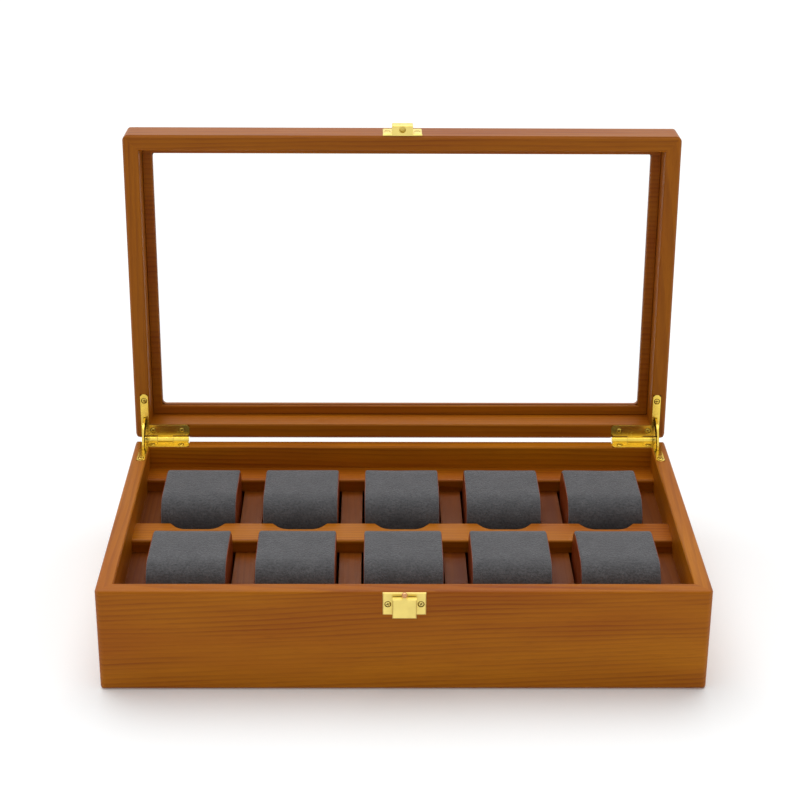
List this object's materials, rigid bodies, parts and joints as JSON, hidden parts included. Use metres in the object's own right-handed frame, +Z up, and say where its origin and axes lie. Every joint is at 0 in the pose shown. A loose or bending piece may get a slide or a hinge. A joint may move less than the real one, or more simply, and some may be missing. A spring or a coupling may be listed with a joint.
{
  "type": "watch display case",
  "caption": "Wooden watch display case with a glazed lid on quadrant hinges, a brass lift latch and two rows of soft pillows between notched rails.",
  "frame": {"origin": "centre of the underside of the base, where the case stands", "axes": "+X to the right along the front, +Y from the front to the hinges, +Z up"},
  "size_m": [0.34, 0.2362, 0.268],
  "materials": {
    "wood": "satin lacquer",
    "cheek_wood": "satin lacquer",
    "brass": "polished",
    "steel": "plain",
    "glass": "clear",
    "microsuede": "napped"
  },
  "bodies": {
    "base": {"base_back_wall": "wood", "base_bottom_panel": "wood", "base_front_wall": "wood", "base_left_wall": "wood", "base_right_wall": "wood", "centre_rail": "wood", "cross_divider_1": "wood", "cross_divider_2": "wood", "cross_divider_3": "wood", "cross_divider_4": "wood", "cross_divider_5": "wood", "cross_divider_6": "wood", "front_rail": "wood", "hinge_base_screws": "brass", "hinge_left_base_leaf": "brass", "hinge_left_pin": "brass", "hinge_right_base_leaf": "brass", "hinge_right_pin": "brass", "latch_pin": "steel", "latch_plate": "brass", "latch_screws": "brass", "latch_spring": "steel", "rear_rail": "wood", "row_divider": "wood"},
    "lid": {"glass_beads": "wood", "hinge_left_lid_leaf": "brass", "hinge_lid_screws": "brass", "hinge_right_lid_leaf": "brass", "keeper_plate": "brass", "keeper_screws": "brass", "lid_back_wall": "wood", "lid_front_wall": "wood", "lid_glass": "glass", "lid_left_wall": "wood", "lid_right_wall": "wood"},
    "stay_left": {"hinge_left_stay": "brass"},
    "stay_right": {"hinge_right_stay": "brass"},
    "latch_flap": {"latch_button": "brass"},
    "pillow_rear_1": {"pillow_rear_1_cheeks": "cheek_wood", "pillow_rear_1_cushion": "microsuede"},
    "pillow_rear_2": {"pillow_rear_2_cheeks": "cheek_wood", "pillow_rear_2_cushion": "microsuede"},
    "pillow_rear_3": {"pillow_rear_3_cheeks": "cheek_wood", "pillow_rear_3_cushion": "microsuede"},
    "pillow_rear_4": {"pillow_rear_4_cheeks": "cheek_wood", "pillow_rear_4_cushion": "microsuede"},
    "pillow_rear_5": {"pillow_rear_5_cheeks": "cheek_wood", "pillow_rear_5_cushion": "microsuede"},
    "pillow_front_1": {"pillow_front_1_cheeks": "cheek_wood", "pillow_front_1_cushion": "microsuede"},
    "pillow_front_2": {"pillow_front_2_cheeks": "cheek_wood", "pillow_front_2_cushion": "microsuede"},
    "pillow_front_3": {"pillow_front_3_cheeks": "cheek_wood", "pillow_front_3_cushion": "microsuede"},
    "pillow_front_4": {"pillow_front_4_cheeks": "cheek_wood", "pillow_front_4_cushion": "microsuede"},
    "pillow_front_5": {"pillow_front_5_cheeks": "cheek_wood", "pillow_front_5_cushion": "microsuede"}
  },
  "joints": [
    {"name": "lid_hinge", "type": "hinge", "parent": "base", "child": "lid", "pos_m": [0, 0.1, 0.0628], "axis": [-1, 0, 0], "range_deg": [-92.2, 0]},
    {"name": "stay_left_turn", "type": "hinge", "parent": "base", "child": "stay_left", "pos_m": [0, 0.1, 0.0628], "axis": [-1, 0, 0], "range_deg": [-46.1, 0]},
    {"name": "stay_right_turn", "type": "hinge", "parent": "base", "child": "stay_right", "pos_m": [0, 0.1, 0.0628], "axis": [-1, 0, 0], "range_deg": [-46.1, 0]},
    {"name": "latch_lift", "type": "hinge", "parent": "base", "child": "latch_flap", "pos_m": [0, -0.1017, 0.057], "axis": [-1, 0, 0], "range_deg": [0, 8], "stiffness_Nm_per_rad": 0.01, "springref_deg": -5.73},
    {"name": "pillow_rear_1_lift", "type": "slide", "parent": "base", "child": "pillow_rear_1", "axis": [0, 0, 1], "range_m": [0, 0.07]},
    {"name": "pillow_rear_2_lift", "type": "slide", "parent": "base", "child": "pillow_rear_2", "axis": [0, 0, 1], "range_m": [0, 0.07]},
    {"name": "pillow_rear_3_lift", "type": "slide", "parent": "base", "child": "pillow_rear_3", "axis": [0, 0, 1], "range_m": [0, 0.07]},
    {"name": "pillow_rear_4_lift", "type": "slide", "parent": "base", "child": "pillow_rear_4", "axis": [0, 0, 1], "range_m": [0, 0.07]},
    {"name": "pillow_rear_5_lift", "type": "slide", "parent": "base", "child": "pillow_rear_5", "axis": [0, 0, 1], "range_m": [0, 0.07]},
    {"name": "pillow_front_1_lift", "type": "slide", "parent": "base", "child": "pillow_front_1", "axis": [0, 0, 1], "range_m": [0, 0.07]},
    {"name": "pillow_front_2_lift", "type": "slide", "parent": "base", "child": "pillow_front_2", "axis": [0, 0, 1], "range_m": [0, 0.07]},
    {"name": "pillow_front_3_lift", "type": "slide", "parent": "base", "child": "pillow_front_3", "axis": [0, 0, 1], "range_m": [0, 0.07]},
    {"name": "pillow_front_4_lift", "type": "slide", "parent": "base", "child": "pillow_front_4", "axis": [0, 0, 1], "range_m": [0, 0.07]},
    {"name": "pillow_front_5_lift", "type": "slide", "parent": "base", "child": "pillow_front_5", "axis": [0, 0, 1], "range_m": [0, 0.07]}
  ],
  "couplings": [
    {"joint": "stay_left_turn", "follows": "lid_hinge", "ratio": 0.5},
    {"joint": "stay_right_turn", "follows": "lid_hinge", "ratio": 0.5}
  ]
}
